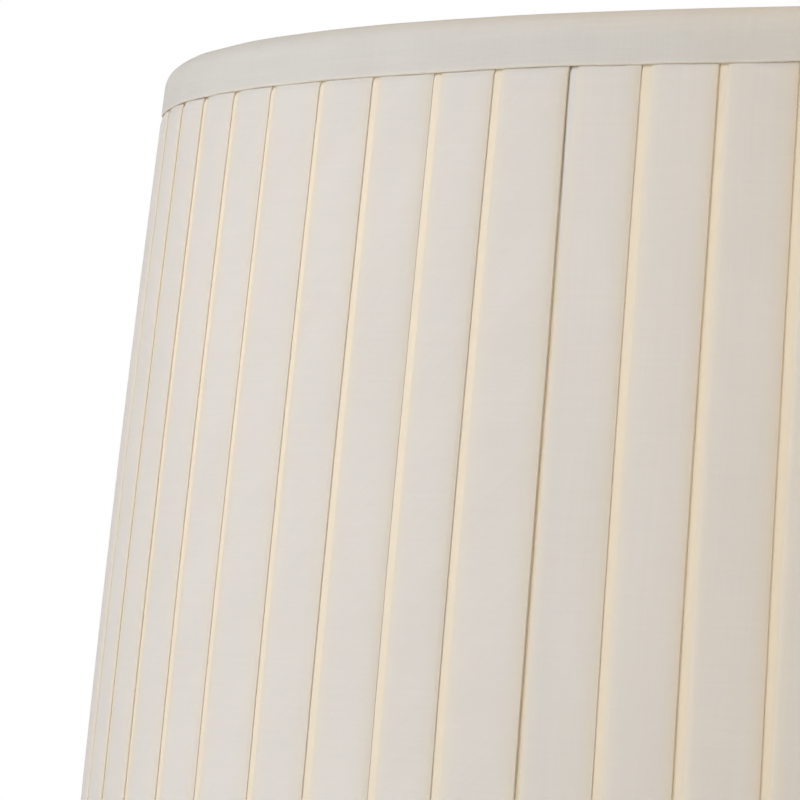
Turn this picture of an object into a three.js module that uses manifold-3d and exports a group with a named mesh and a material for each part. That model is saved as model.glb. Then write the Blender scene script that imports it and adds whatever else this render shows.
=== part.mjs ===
// Box-pleated fabric lamp shade on a wire frame with a recessed three-arm spider.
// Millimetres, +Z up. The origin is the centre of the bottom rim, on the plane it stands on.
// Angles round the shade are measured from -Y, the front, and grow towards +X.

import * as THREE from 'three';
import { mergeVertices } from 'three/addons/utils/BufferGeometryUtils.js';
import Module from 'manifold-3d';

const wasm = await Module();
wasm.setup();

// ---------------------------------------------------------------- driving dimensions

// The whole shade, measured over the trims at the two rims.
const TOP_DIAMETER = 381;
const BOTTOM_DIAMETER = 426;
const HEIGHT = 305;

// The clearance between pieces that touch.
const GAP = 0.3;

// Trims: a folded bias strip rolled over each rim.
const TRIM_THICKNESS = 0.8;
const TRIM_OUTSIDE_LEG = 10;
const TRIM_INSIDE_LEG = 8;

// Pleated cover: each box pleat is a face with two underlaps behind it.
const COVER_THICKNESS = 1.6;
const PLEAT_COUNT = 76;
const PLEAT_SLIT = 0.8;
const PLEAT_DEPTH = 1.1;
const PLEAT_SHOULDER = 1.6;
const SEAM_ANGLE = -30;

const LINING_THICKNESS = 0.5;
const BINDING_THICKNESS = 0.5;

// Wire frame.
const RING_WIRE = 3;
const RING_SEAT = 1;
const RIB_WIRE = 2.2;
const RIB_COUNT = 6;

// Spider: three wire arms that carry a washer for a lamp's harp.
const ARM_WIRE = 3;
const ARM_COUNT = 3;
const ARM_DROP = 20;
const ARM_BEND = 3.8;
const FRONT_ARM_ANGLE = 0;
const WASHER_DIAMETER = 25.4;
const WASHER_HOLE = 11.1;
const WASHER_THICKNESS = 1.6;

// Collars: the cloth tabs that close the lining where an arm comes through it.
const COLLAR_THICKNESS = 0.5;
const COLLAR_WIDTH = 12;
const COLLAR_GAP = 0.6;

// How finely round shapes are faceted. Rings of revolution share the pleats' facets.
const WIRE_SIDES = 8;
const ROLL_STEPS = 4;
const ARM_STEPS = 30;
const WASHER_STEPS = 32;
const COLLAR_STEPS = 6;

// ---------------------------------------------------------------- the wall, layer by layer

const slope = (BOTTOM_DIAMETER - TOP_DIAMETER) / 2 / HEIGHT;
const seam = THREE.MathUtils.degToRad(SEAM_ANGLE);

// Each layer is a depth, measured inwards from the outer face of the trims.
const coverOutside = TRIM_THICKNESS + GAP;
const coverInside = coverOutside + COVER_THICKNESS;
const bindingOutside = coverInside + GAP;
const bindingWall = BINDING_THICKNESS + GAP;
const wireCentre = bindingOutside + bindingWall + RING_WIRE / 2;
const bindingInside = wireCentre + RING_WIRE / 2 + bindingWall;
const liningOutside = bindingInside + GAP;
const liningInside = liningOutside + LINING_THICKNESS;
const trimInside = liningInside + GAP + TRIM_THICKNESS;

// The trims roll over each rim on a half circle as deep as the whole wall.
const rollRadius = trimInside / 2;
const TOP = { rim: HEIGHT, inwards: -1 };
const BOTTOM = { rim: 0, inwards: 1 };

// The height that lies a distance inside a rim, and the wall's radius at a height and depth.
const heightInside = (end, distance) => end.rim + end.inwards * distance;
const wallRadius = (z, depth) => TOP_DIAMETER / 2 + slope * (HEIGHT - z) - depth;
const wallPoint = (z, depth) => new THREE.Vector2(wallRadius(z, depth), z);

const ringInset = rollRadius + RING_SEAT;
const armHeight = HEIGHT - ARM_DROP;

// ---------------------------------------------------------------- solids

// Drops everything but position and merges shared corners, so that the surface is closed.
function closed(geometry) {
  geometry.deleteAttribute('normal');
  geometry.deleteAttribute('uv');
  return mergeVertices(geometry, 1e-4);
}

function toManifold(geometry) {
  return new wasm.Manifold(new wasm.Mesh({
    numProp: 3,
    vertProperties: new Float32Array(geometry.attributes.position.array),
    triVerts: new Uint32Array(geometry.index.array),
  }));
}

function fromManifold(manifold) {
  const mesh = manifold.getMesh();
  const geometry = new THREE.BufferGeometry();
  geometry.setAttribute('position', new THREE.BufferAttribute(mesh.vertProperties, 3));
  geometry.setIndex(new THREE.BufferAttribute(mesh.triVerts, 1));
  return geometry;
}

// Turns a closed outline of (radius, height) points about Z. The outline runs anticlockwise.
function revolve(outline, steps = PLEAT_COUNT) {
  const lathe = new THREE.LatheGeometry([...outline, outline[0]], steps, seam, 2 * Math.PI);
  return closed(lathe.rotateX(Math.PI / 2));
}

// The direction that points out from the axis at an angle from the front.
const outwards = (angle) => new THREE.Vector3(Math.sin(angle), -Math.cos(angle), 0);

function pointAt(angle, radius, z) {
  return outwards(angle).multiplyScalar(radius).setZ(z);
}

// A straight round wire between two points.
function wire(from, to, diameter) {
  const along = to.clone().sub(from);
  const radius = diameter / 2;
  const rod = new THREE.CylinderGeometry(radius, radius, along.length(), WIRE_SIDES);
  const turn = new THREE.Quaternion().setFromUnitVectors(
    new THREE.Vector3(0, 1, 0), along.clone().normalize());
  rod.applyQuaternion(turn);
  const middle = from.clone().add(to).multiplyScalar(0.5);
  return { geometry: closed(rod), position: middle };
}

// ---------------------------------------------------------------- materials

const ivoryCloth = { color: 0xe9e2d6, roughness: 0.9, metalness: 0 };
const trimCloth = { color: 0xdedbd2, roughness: 0.9, metalness: 0 };
const liningCloth = { color: 0xf1ebe0, roughness: 0.75, metalness: 0 };
const cottonTape = { color: 0xe6dfd0, roughness: 0.95, metalness: 0 };
const whiteCoating = { color: 0xe8e6e0, roughness: 0.45, metalness: 0.1 };
const brassPlate = { color: 0xc9a25a, roughness: 0.3, metalness: 0.9 };

const shade = new THREE.Group();

function add(name, geometry, look, position) {
  const mesh = new THREE.Mesh(geometry, new THREE.MeshStandardMaterial(look));
  mesh.name = name;
  if (position) mesh.position.copy(position);
  shade.add(mesh);
}

// ---------------------------------------------------------------- pleated cover

// One ring of the cover's outside at a height: a slit and two shoulders for each pleat.
function pleatedRing(z) {
  const faceRadius = wallRadius(z, coverOutside);
  const floorRadius = faceRadius - PLEAT_DEPTH;
  const ring = [];
  for (let pleat = 0; pleat < PLEAT_COUNT; pleat += 1) {
    const middle = seam + (pleat * 2 * Math.PI) / PLEAT_COUNT;
    const floorTurn = PLEAT_SLIT / 2 / floorRadius;
    const faceTurn = (PLEAT_SLIT / 2 + PLEAT_SHOULDER) / faceRadius;
    ring.push(
      pointAt(middle - faceTurn, faceRadius, z),
      pointAt(middle - floorTurn, floorRadius, z),
      pointAt(middle + floorTurn, floorRadius, z),
      pointAt(middle + faceTurn, faceRadius, z),
    );
  }
  return ring;
}

// The cover's smooth inside at a height, with a point behind each point of the outside.
function backingRing(outside, z) {
  const radius = wallRadius(z, coverInside);
  return outside.map((point) => pointAt(Math.atan2(point.x, -point.y), radius, z));
}

// Skins matching rings of points, each joined to the next and the last to the first.
function band(rings) {
  const count = rings[0].length;
  const corners = rings.flat().flatMap((point) => point.toArray());
  const index = [];
  rings.forEach((ring, row) => {
    const here = row * count;
    const next = ((row + 1) % rings.length) * count;
    for (let i = 0; i < count; i += 1) {
      const j = (i + 1) % count;
      index.push(here + i, here + j, next + j, here + i, next + j, next + i);
    }
  });
  const geometry = new THREE.BufferGeometry();
  geometry.setAttribute('position', new THREE.Float32BufferAttribute(corners, 3));
  geometry.setIndex(index);
  return geometry;
}

function pleatedCover() {
  const low = heightInside(BOTTOM, rollRadius);
  const high = heightInside(TOP, rollRadius);
  const outsideLow = pleatedRing(low);
  const outsideHigh = pleatedRing(high);
  const insideHigh = backingRing(outsideHigh, high);
  const insideLow = backingRing(outsideLow, low);
  return band([outsideLow, outsideHigh, insideHigh, insideLow]);
}

add('pleated_cover', pleatedCover(), ivoryCloth);

// ---------------------------------------------------------------- trims

// Points on a half circle over a rim, from the wall's outside to its inside.
function roll(end, radius) {
  const z = heightInside(end, rollRadius);
  const centre = wallRadius(z, rollRadius);
  const points = [];
  for (let step = 0; step <= ROLL_STEPS; step += 1) {
    const turn = (Math.PI * step) / ROLL_STEPS;
    const over = end.inwards * radius * Math.sin(turn);
    points.push(new THREE.Vector2(centre + radius * Math.cos(turn), z - over));
  }
  return points;
}

function trim(end) {
  const outsideEdge = heightInside(end, TRIM_OUTSIDE_LEG);
  const insideEdge = heightInside(end, TRIM_INSIDE_LEG);
  const outline = [
    wallPoint(outsideEdge, 0),
    ...roll(end, rollRadius),
    wallPoint(insideEdge, trimInside),
    wallPoint(insideEdge, trimInside - TRIM_THICKNESS),
    ...roll(end, rollRadius - TRIM_THICKNESS).reverse(),
    wallPoint(outsideEdge, TRIM_THICKNESS),
  ];
  return revolve(end === TOP ? outline : outline.reverse());
}

add('top_trim', trim(TOP), trimCloth);
add('bottom_trim', trim(BOTTOM), trimCloth);

// ---------------------------------------------------------------- wire frame

function ring(end) {
  const z = heightInside(end, ringInset);
  const torus = new THREE.TorusGeometry(
    wallRadius(z, wireCentre), RING_WIRE / 2, WIRE_SIDES, PLEAT_COUNT);
  torus.rotateZ(seam - Math.PI / 2);
  return { geometry: closed(torus), position: new THREE.Vector3(0, 0, z) };
}

// A tape folded over a ring, open towards the ribs.
function binding(end) {
  const wireHeight = heightInside(end, ringInset);
  const crown = wireHeight - end.inwards * (RING_WIRE / 2 + GAP);
  const crownTop = crown - end.inwards * BINDING_THICKNESS;
  const mouth = wireHeight + end.inwards * (RING_WIRE / 2);
  const outline = [
    wallPoint(mouth, bindingOutside),
    wallPoint(crownTop, bindingOutside),
    wallPoint(crownTop, bindingInside),
    wallPoint(mouth, bindingInside),
    wallPoint(mouth, bindingInside - BINDING_THICKNESS),
    wallPoint(crown, bindingInside - BINDING_THICKNESS),
    wallPoint(crown, bindingOutside + BINDING_THICKNESS),
    wallPoint(mouth, bindingOutside + BINDING_THICKNESS),
  ];
  return revolve(end === TOP ? outline : outline.reverse());
}

function rib(angle) {
  const reach = ringInset + RING_WIRE / 2 + GAP;
  const low = heightInside(BOTTOM, reach);
  const high = heightInside(TOP, reach);
  return wire(
    pointAt(angle, wallRadius(low, wireCentre), low),
    pointAt(angle, wallRadius(high, wireCentre), high),
    RIB_WIRE,
  );
}

for (const [name, end] of [['top', TOP], ['bottom', BOTTOM]]) {
  const hoop = ring(end);
  add(`${name}_ring`, hoop.geometry, whiteCoating, hoop.position);
  add(`${name}_ring_binding`, binding(end), cottonTape);
}

for (let i = 0; i < RIB_COUNT; i += 1) {
  const strut = rib(seam + (i * 2 * Math.PI) / RIB_COUNT);
  add(`rib_${i + 1}`, strut.geometry, whiteCoating, strut.position);
}

// ---------------------------------------------------------------- spider

const armAngles = [];
for (let i = 0; i < ARM_COUNT; i += 1) {
  armAngles.push(THREE.MathUtils.degToRad(FRONT_ARM_ANGLE) + (i * 2 * Math.PI) / ARM_COUNT);
}

// An arm drops from under the top ring, bends once and runs in to the washer's edge.
function arm(angle) {
  const start = heightInside(TOP, ringInset + RING_WIRE / 2 + GAP);
  const outer = wallRadius(heightInside(TOP, ringInset), wireCentre);
  const inner = WASHER_DIAMETER / 2 + GAP;
  const corner = pointAt(angle, outer, armHeight);
  const path = new THREE.CurvePath();
  const bendStart = pointAt(angle, outer, armHeight + ARM_BEND);
  const bendEnd = pointAt(angle, outer - ARM_BEND, armHeight);
  path.add(new THREE.LineCurve3(pointAt(angle, outer, start), bendStart));
  path.add(new THREE.QuadraticBezierCurve3(bendStart, corner, bendEnd));
  path.add(new THREE.LineCurve3(bendEnd, pointAt(angle, inner, armHeight)));
  const section = new THREE.Shape();
  section.absarc(0, 0, ARM_WIRE / 2, 0, 2 * Math.PI);
  return closed(new THREE.ExtrudeGeometry(section, {
    steps: ARM_STEPS, curveSegments: WIRE_SIDES / 2, extrudePath: path,
  }));
}

function washer() {
  const low = armHeight - WASHER_THICKNESS / 2;
  const high = armHeight + WASHER_THICKNESS / 2;
  return revolve([
    new THREE.Vector2(WASHER_DIAMETER / 2, low),
    new THREE.Vector2(WASHER_DIAMETER / 2, high),
    new THREE.Vector2(WASHER_HOLE / 2, high),
    new THREE.Vector2(WASHER_HOLE / 2, low),
  ], WASHER_STEPS);
}

armAngles.forEach((angle, i) => add(`spider_arm_${i + 1}`, arm(angle), brassPlate));
add('spider_washer', washer(), brassPlate);

// ---------------------------------------------------------------- lining and collars

// The lining is slit from its top edge down to each arm.
function lining() {
  const low = heightInside(BOTTOM, rollRadius);
  const high = heightInside(TOP, rollRadius);
  let sheet = toManifold(revolve([
    wallPoint(low, liningOutside),
    wallPoint(high, liningOutside),
    wallPoint(high, liningInside),
    wallPoint(low, liningInside),
  ]));
  const slitFloor = armHeight - ARM_WIRE / 2 - GAP;
  const slitInner = Math.min(wallRadius(slitFloor, trimInside), wallRadius(HEIGHT, trimInside));
  const slitOuter = Math.max(wallRadius(slitFloor, coverInside), wallRadius(HEIGHT, coverInside));
  for (const angle of armAngles) {
    const slit = new THREE.BoxGeometry(ARM_WIRE + 2 * GAP, slitOuter - slitInner, HEIGHT - slitFloor);
    slit.rotateZ(angle);
    const middle = pointAt(angle, (slitInner + slitOuter) / 2, (HEIGHT + slitFloor) / 2);
    slit.translate(middle.x, middle.y, middle.z);
    sheet = sheet.subtract(toManifold(closed(slit)));
  }
  return fromManifold(sheet);
}

// A tab that hangs on the lining below the trim, with a round hole for the arm.
function collar(angle) {
  const halfWidth = COLLAR_WIDTH / 2;
  const top = ARM_DROP - TRIM_INSIDE_LEG - GAP;
  const outline = new THREE.Shape();
  outline.moveTo(halfWidth, 0);
  outline.lineTo(halfWidth, top);
  outline.lineTo(-halfWidth, top);
  outline.lineTo(-halfWidth, 0);
  outline.absarc(0, 0, halfWidth, Math.PI, 2 * Math.PI);
  const hole = new THREE.Path();
  hole.absarc(0, 0, ARM_WIRE / 2 + 2 * GAP, 0, 2 * Math.PI, true);
  outline.holes.push(hole);
  const tab = closed(new THREE.ExtrudeGeometry(outline, {
    depth: COLLAR_THICKNESS, curveSegments: COLLAR_STEPS, bevelEnabled: false,
  }));
  const out = outwards(angle);
  const across = new THREE.Vector3(out.y, -out.x, 0);
  const up = new THREE.Vector3(0, 0, 1).addScaledVector(out, -slope).normalize();
  const inwards = new THREE.Vector3().crossVectors(across, up);
  tab.applyMatrix4(new THREE.Matrix4().makeBasis(across, up, inwards));
  const seat = wallRadius(armHeight, liningInside) - COLLAR_GAP;
  return { geometry: tab, position: pointAt(angle, seat, armHeight) };
}

add('lining', lining(), liningCloth);
armAngles.forEach((angle, i) => {
  const tab = collar(angle);
  add(`arm_collar_${i + 1}`, tab.geometry, liningCloth, tab.position);
});

export default shade;
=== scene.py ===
"""A box-pleated empire lamp shade: pleated cover, bias-cut trims, lining, wire frame and spider fitter."""
import math
import random

import bpy
from mathutils import Matrix, Vector, noise


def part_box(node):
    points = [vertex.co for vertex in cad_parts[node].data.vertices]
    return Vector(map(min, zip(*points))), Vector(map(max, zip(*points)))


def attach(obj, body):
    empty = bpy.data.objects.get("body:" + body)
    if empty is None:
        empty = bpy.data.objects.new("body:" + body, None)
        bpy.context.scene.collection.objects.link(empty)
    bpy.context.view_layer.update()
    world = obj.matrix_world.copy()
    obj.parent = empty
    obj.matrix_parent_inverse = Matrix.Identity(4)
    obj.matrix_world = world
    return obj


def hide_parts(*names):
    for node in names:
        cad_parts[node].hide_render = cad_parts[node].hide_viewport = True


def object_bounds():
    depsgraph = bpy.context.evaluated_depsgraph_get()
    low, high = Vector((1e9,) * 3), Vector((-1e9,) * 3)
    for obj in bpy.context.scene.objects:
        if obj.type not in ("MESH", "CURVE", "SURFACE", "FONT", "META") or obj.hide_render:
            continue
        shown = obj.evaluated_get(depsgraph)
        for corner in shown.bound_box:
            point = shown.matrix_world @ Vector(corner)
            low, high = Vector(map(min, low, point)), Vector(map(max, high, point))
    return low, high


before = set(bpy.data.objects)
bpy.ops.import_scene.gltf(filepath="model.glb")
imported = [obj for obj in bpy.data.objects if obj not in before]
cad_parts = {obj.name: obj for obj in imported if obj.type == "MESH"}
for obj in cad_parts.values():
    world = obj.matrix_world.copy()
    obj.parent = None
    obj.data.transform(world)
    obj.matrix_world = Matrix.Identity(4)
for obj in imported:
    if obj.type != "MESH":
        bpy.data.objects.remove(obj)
cad_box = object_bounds()

MM = 0.001
TURN = 2 * math.pi
FLOOR_Z, RIM_Z = cad_box[0].z, cad_box[1].z

# Cover: box pleats, each with a face, two underlaps and the single layer that crosses the slit.
PLEAT_COUNT = 76
PLEAT_SEED = 344720
PLEAT_JITTER = math.radians(0.75)
PLEAT_WANDER = 0.3 * MM
SLIT_TOP = 1.9 * MM
SLIT_BOTTOM = 2.2 * MM
SLIT_UNEVEN = 0.25
FACE_DEPTH = 0.18 * MM
FACE_CROWN = 0.38 * MM
FACE_RIPPLE = 0.14 * MM
FACE_TILT = 0.1 * MM
FACE_LEVEL = 0.05 * MM
FACE_SHARES = (-0.92, -0.82, -0.66, -0.35, 0, 0.35, 0.66, 0.82, 0.92)
CROWN_LEAST = 0.8
CROWN_MOST = 1.1
CROWN_POWER = 5
BACK_DEPTH = 0.82 * MM
RETURN_GAP = 0.05 * MM
UNDERLAP_SHARE = 0.99
UNDERLAP_START = 0.25
FOLD_POINTS = 3
EDGE_POINTS = 5
BULGE = 2.6 * MM

# Rows of the cover: near each trim, as shares of the trim's height, and the steps between them.
ROWS_BETWEEN = 13
TRIM_ROWS = (0, 0.3, 0.55, 0.75, 0.9, 1.0, 1.1, 1.22, 1.4, 1.75)

# How much of the slit's painted warm glow, painted light standing in for lamp light through the slit, the
# folds and the edges of the faces take.
FOLD_PAINTED_GLOW = 0.25
EDGE_GLOW = 0.6
GLOW_START = 0.55

# Under the trims the pleats are pressed flat.
PRESSED_BACK_DEPTH = 1.05 * MM
PRESSED_FACE_DEPTH = 0.53 * MM
PRESSED_CROWN = 0.1 * MM
PRESS_START = 0.94
PRESS_END = 1.14

# At the seam the cloth's end is lapped behind its start, further towards the bottom, and folded.
SEAM_SLIT_SHARE = 0.55
SEAM_CLOSED_LOW = 0.83
SEAM_CLOSED_HIGH = 0.92
SEAM_LAP_TOP = 2 * MM
SEAM_LAP_BOTTOM = 8.5 * MM
SEAM_LAYER_GAP = 0.15 * MM
SEAM_STEP = 0.4
SEAM_FOLDS = 2

# Noise over the cover: its steps from pleat to pleat, per metre of height and across a pleat.
FACE_NOISE = (3.7, 14, 0.8)
SLIT_NOISE = (5.3, 7, 2.5)
WANDER_NOISE = (9.1, 6, 0.7)
SEED_SHIFT = (7.3, 3.1, 5.7)

# Trims: bias-cut strips folded over the rims. Each wave is in waves per metre, with its share.
TRIM_CLOTH = 0.45 * MM
TRIM_STEPS = 608
TRIM_EDGE_WAVE = 0.35 * MM
TRIM_EDGE_WAVES = ((28, 0.7), (95, 0.4))
TRIM_PRESS = 0.1 * MM
TRIM_UNEVEN = 0.16 * MM
TRIM_FACE_WAVES = 60
TRIM_FACE_RATE = 2
TRIM_RIM_WAVES = 35
TRIM_LAP = 14 * MM
TRIM_LAP_EASE = 0.5 * MM
TRIM_LAP_STEP = 0.4 * MM
TRIM_LEG_START = 0.35
# Where the painted warm glow along the free edge of the outer leg begins, as a share of the trim's height.
TRIM_GLOW_START = 0.96
TRIM_INNER_REACH = 0.1 * MM
OUTER_LEG_STEPS = (0, 0.1, 0.3, 0.65)
UNDER_LEG_STEPS = (0.35, 0.7, 0.9, 1)
ROLL_STEPS = 16
UNDER_ROLL_STEPS = 12

# Lining. Each wave has its rate along the height, its waves per metre and its size.
LINING_STEPS = 300
LINING_ROWS = 28
LINING_SAG = 0.6 * MM
LINING_WAVES = ((0.25, 22, 0.9 * MM), (0.1, 70, 0.3 * MM))
LINING_SEED = 5
LINING_HOLD_POWER = 0.7
ARM_SLIT_GAP = 0.3 * MM

# Frame: bindings, rings, ribs, arms and washer.
TAPE_PITCH = 6 * MM
TAPE_EDGE = 0.3 * MM
TAPE_UNEVEN = 0.05 * MM
TAPE_STEPS = 5
TAPE_SIDES = 14
TAPE_STRETCH = 1.6
TAPE_SHADE = 0.4
TAPE_NOISE = 0.31
WIRE_SIDES = 16
RING_STEPS = 360
BUTT_WELD_SIZE = 0.12
BUTT_WELD_REACH = 2.5
RIB_STEPS = 12
RIB_FLARE = 1.25
WELD_SIZE = 1.25
WELD_STRETCH = (1, 1, 0.7)
RING_SOLDER_STRETCH = (1, 1, 0.5)
WASHER_SOLDER_STRETCH = (1, 1, 0.6)
BEAD_RINGS = 7
BEAD_SIDES = 12
BEAD_UNEVEN = 0.12
BEAD_NOISE = 2
BEAD_SPREAD = 40
ARM_BEND = 3.8 * MM
ARM_BEND_STEPS = 8
ARM_STEPS = 10
WASHER_GAP = 0.3 * MM
WASHER_EASE = 0.3 * MM
WASHER_DOME = 0.05 * MM
WASHER_STEPS = 96

# Collars: cloth tabs, in bands from the hole to the edge, and their stitches.
TAB_WIDTH = 12 * MM
TAB_HOLE_GAP = 0.6 * MM
TAB_INSET = 1.2 * MM
TAB_STEPS = 64
TAB_BANDS = (0, 0.25, 0.6, 0.85, 1)
TAB_CORNER_POWER = 0.22
TAB_THIN = 0.35
TAB_THICK = 0.5
TAB_HEM_START = 0.5
TAB_HEM_END = 0.9
TAB_EDGE_SHARE = 0.55
STITCH_LENGTH = 1.7 * MM
STITCH_PITCH = 2.6 * MM
STITCH_RADIUS = 0.16 * MM
STITCH_LEAN = 0.15
STITCH_ARCH = 1.2
STITCH_POINTS = 7
STITCH_SIDES = 8
SIDE_STITCHES = 5
SIDE_STITCH_START = 0.3
FOOT_STITCHES = 4
FOOT_STITCH_START = 0.2
STITCH_SEEDS_PER_RADIAN = 100


# ---- Measures taken from the frame ----

def profile_of(node):
    """The radius and height of each of a CAD node's vertices."""
    return [(math.hypot(v.co.x, v.co.y), v.co.z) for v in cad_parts[node].data.vertices]


TOP_EDGE_RADIUS, TOP_EDGE_Z = max(profile_of("top_trim"))
LOW_EDGE_RADIUS, LOW_EDGE_Z = max(profile_of("bottom_trim"))
SLOPE = (LOW_EDGE_RADIUS - TOP_EDGE_RADIUS) / (TOP_EDGE_Z - LOW_EDGE_Z)


def wall(z, depth=0.0):
    """The cone's radius at a height, at a depth inwards from the outer faces of the trims."""
    return LOW_EDGE_RADIUS - SLOPE * (z - LOW_EDGE_Z) - depth


def depths(node):
    """How far a CAD node's vertices lie inside the wall: the least and the most."""
    inside = [wall(z) - radius for radius, z in profile_of(node)]
    return min(inside), max(inside)


def heights(node):
    """The lowest and the highest point of a CAD node."""
    low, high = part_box(node)
    return low[2], high[2]


def facing(node):
    """The angle that a CAD node faces, from the front (-Y) towards +X."""
    low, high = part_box(node)
    return math.atan2(low[0] + high[0], -(low[1] + high[1]))


def at(angle, radius, z):
    """A point at an angle from the front."""
    return Vector((radius * math.sin(angle), -radius * math.cos(angle), z))


def smooth(low, high, value):
    """0 below low, 1 above high, and a smooth step between them."""
    t = min(1.0, max(0.0, (value - low) / (high - low)))
    return t * t * (3 - 2 * t)


def blend(start, end, share):
    """The value that lies a share of the way from start to end."""
    return start + (end - start) * share


def turn_between(first, second):
    """The angle between two directions, the short way round."""
    return abs((first - second + math.pi) % TURN - math.pi)


def height_share(z):
    """0 at the bottom rim and 1 at the top one."""
    return (z - FLOOR_Z) / (RIM_Z - FLOOR_Z)


def ripple(angle, z, per_metre, seed):
    """Smooth noise over the wall, from about -1 to 1, without a jump where the angle wraps."""
    spot = at(angle, LOW_EDGE_RADIUS, z) * per_metre
    return noise.noise(spot + Vector([seed * shift for shift in SEED_SHIFT]))


def pleat_noise(steps, number, z, across=1.0):
    """Noise from about -1 to 1, by a pleat's number, a height and a place across the pleat."""
    return noise.noise(Vector((number * steps[0], z * steps[1], across * steps[2])))


ARM_NODES = ["spider_arm_1", "spider_arm_2", "spider_arm_3"]
COLLAR_NODES = ["arm_collar_1", "arm_collar_2", "arm_collar_3"]
RIB_NODES = ["rib_1", "rib_2", "rib_3", "rib_4", "rib_5", "rib_6"]
SEAM_ANGLE = facing("rib_1")
COVER_LOW, COVER_HIGH = heights("pleated_cover")
TRIM_HEIGHT = RIM_Z - heights("top_trim")[0]
TRIM_DEPTH = depths("top_trim")[1]


# ---- Mesh helpers ----

def new_piece(name, vertices, faces, flat=None, smooth_shading=True):
    """A mesh object; flat holds each vertex's place on the uncut cloth, in metres, and its share of painted
    light.
    """
    mesh = bpy.data.meshes.new(name)
    mesh.from_pydata([tuple(v) for v in vertices], [], faces)
    if flat:
        layer = mesh.attributes.new("cloth_flat", "FLOAT_VECTOR", "POINT")
        layer.data.foreach_set("vector", [value for place in flat for value in place])
    if smooth_shading:
        mesh.shade_smooth()
    piece = bpy.data.objects.new(name, mesh)
    bpy.context.scene.collection.objects.link(piece)
    return piece


def grid_faces(rows, columns, wrap_rows=False, wrap_columns=False, left_out=()):
    """Quads between the points of a grid, counted row by row; left_out holds cells as (row, column)."""
    faces = []
    for i in range(rows if wrap_rows else rows - 1):
        for j in range(columns if wrap_columns else columns - 1):
            if (i, j) in left_out:
                continue
            i2, j2 = (i + 1) % rows, (j + 1) % columns
            faces.append((i * columns + j, i * columns + j2, i2 * columns + j2, i2 * columns + j))
    return faces


def arc(centre, radius, start, end, count):
    """Points of an arc in a plane, both ends included; angles in degrees."""
    turns = [math.radians(blend(start, end, i / (count - 1))) for i in range(count)]
    return [(centre[0] + radius * math.cos(t), centre[1] + radius * math.sin(t)) for t in turns]


def tube(points, radii, sides=WIRE_SIDES, closed=False):
    """Vertices and faces of a round wire along points, with a radius at each point."""
    count = len(points)
    vertices = []
    side = None
    for i, point in enumerate(points):
        before = points[i - 1] if i or closed else point
        after = points[(i + 1) % count] if i + 1 < count or closed else point
        along = (after - before).normalized()
        if side is None:
            side = Vector((0, 0, 1)) if closed else along.orthogonal().normalized()
        side = (side - along * side.dot(along)).normalized()
        other = along.cross(side)
        for k in range(sides):
            turn = TURN * k / sides
            vertices.append(point + (side * math.cos(turn) + other * math.sin(turn)) * radii[i])
    faces = grid_faces(count, sides, wrap_rows=closed, wrap_columns=True)
    if not closed:
        vertices += [points[0], points[-1]]
        top = (count - 1) * sides
        for k in range(sides):
            faces.append(((k + 1) % sides, k, len(vertices) - 2))
            faces.append((top + k, top + (k + 1) % sides, len(vertices) - 1))
    return vertices, faces


def merge(parts):
    """One list of vertices and faces from several."""
    vertices, faces = [], []
    for part_vertices, part_faces in parts:
        start = len(vertices)
        vertices += part_vertices
        faces += [tuple(start + i for i in face) for face in part_faces]
    return vertices, faces


def bead(centre, radius, stretch):
    """A lump of weld or solder."""
    points = []
    for i in range(BEAD_RINGS):
        tilt = math.pi * (i + 0.5) / BEAD_RINGS
        for k in range(BEAD_SIDES):
            turn = TURN * k / BEAD_SIDES
            out = math.sin(tilt)
            offset = Vector((out * math.cos(turn), out * math.sin(turn), math.cos(tilt)))
            lump = noise.noise(offset * BEAD_NOISE + centre * BEAD_SPREAD)
            offset *= radius * (1 + BEAD_UNEVEN * lump)
            points.append(centre + Vector(a * b for a, b in zip(offset, stretch)))
    faces = grid_faces(BEAD_RINGS, BEAD_SIDES, wrap_columns=True)
    faces.append(tuple(range(BEAD_SIDES))[::-1])
    faces.append(tuple(range((BEAD_RINGS - 1) * BEAD_SIDES, BEAD_RINGS * BEAD_SIDES)))
    return points, faces


# ---- Materials ----

# Tone and slubs, in waves per metre along the cloth's two directions.
TONE_WAVES = (38, 22, 0)
WARP_SLUBS = (1500, 26, 0)
WEFT_SLUBS = (30, 1500, 0)
SLUB_SHARE = 0.55
SLUB_ROUGHNESS = 0.12
THREAD_RELIEF = 0.6
THREAD_WANDER = 0.6
# A wave texture repeats every TURN / WAVE_BANDS, over its scale.
WAVE_BANDS = 20
WIDE_GRAIN = 0.12
FINE_SHARE = 0.4
RAMP_START = 0.35
RAMP_END = 0.65


def node(tree, kind, inputs=None, **settings):
    """A shader node; inputs holds values, or output sockets to link."""
    made = tree.nodes.new(kind)
    for key, value in settings.items():
        setattr(made, key, value)
    for key, value in (inputs or {}).items():
        if isinstance(value, bpy.types.NodeSocket):
            tree.links.new(value, made.inputs[key])
        else:
            made.inputs[key].default_value = value
    return made


def new_material(name):
    """An empty material."""
    material = bpy.data.materials.new(name)
    material.use_nodes = True
    material.node_tree.nodes.clear()
    return material


def mapped_noise(tree, place, stretch, detail=3.0):
    """Noise on a place stretched along each axis, in waves per metre."""
    spread = node(tree, "ShaderNodeVectorMath", {0: place, 1: stretch}, operation="MULTIPLY")
    return node(tree, "ShaderNodeTexNoise", {"Vector": spread.outputs[0], "Scale": 1.0, "Detail": detail})


def ramp(tree, value, low, high):
    """A colour ramp from low to high."""
    made = node(tree, "ShaderNodeValToRGB", {"Fac": value})
    for stop, place, colour in zip(made.color_ramp.elements, (RAMP_START, RAMP_END), (low, high)):
        stop.position = place
        stop.color = (*colour, 1)
    return made.outputs["Color"]


def math_node(tree, operation, *values):
    """The result of an operation on values or sockets."""
    return node(tree, "ShaderNodeMath", dict(enumerate(values)), operation=operation).outputs[0]


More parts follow.
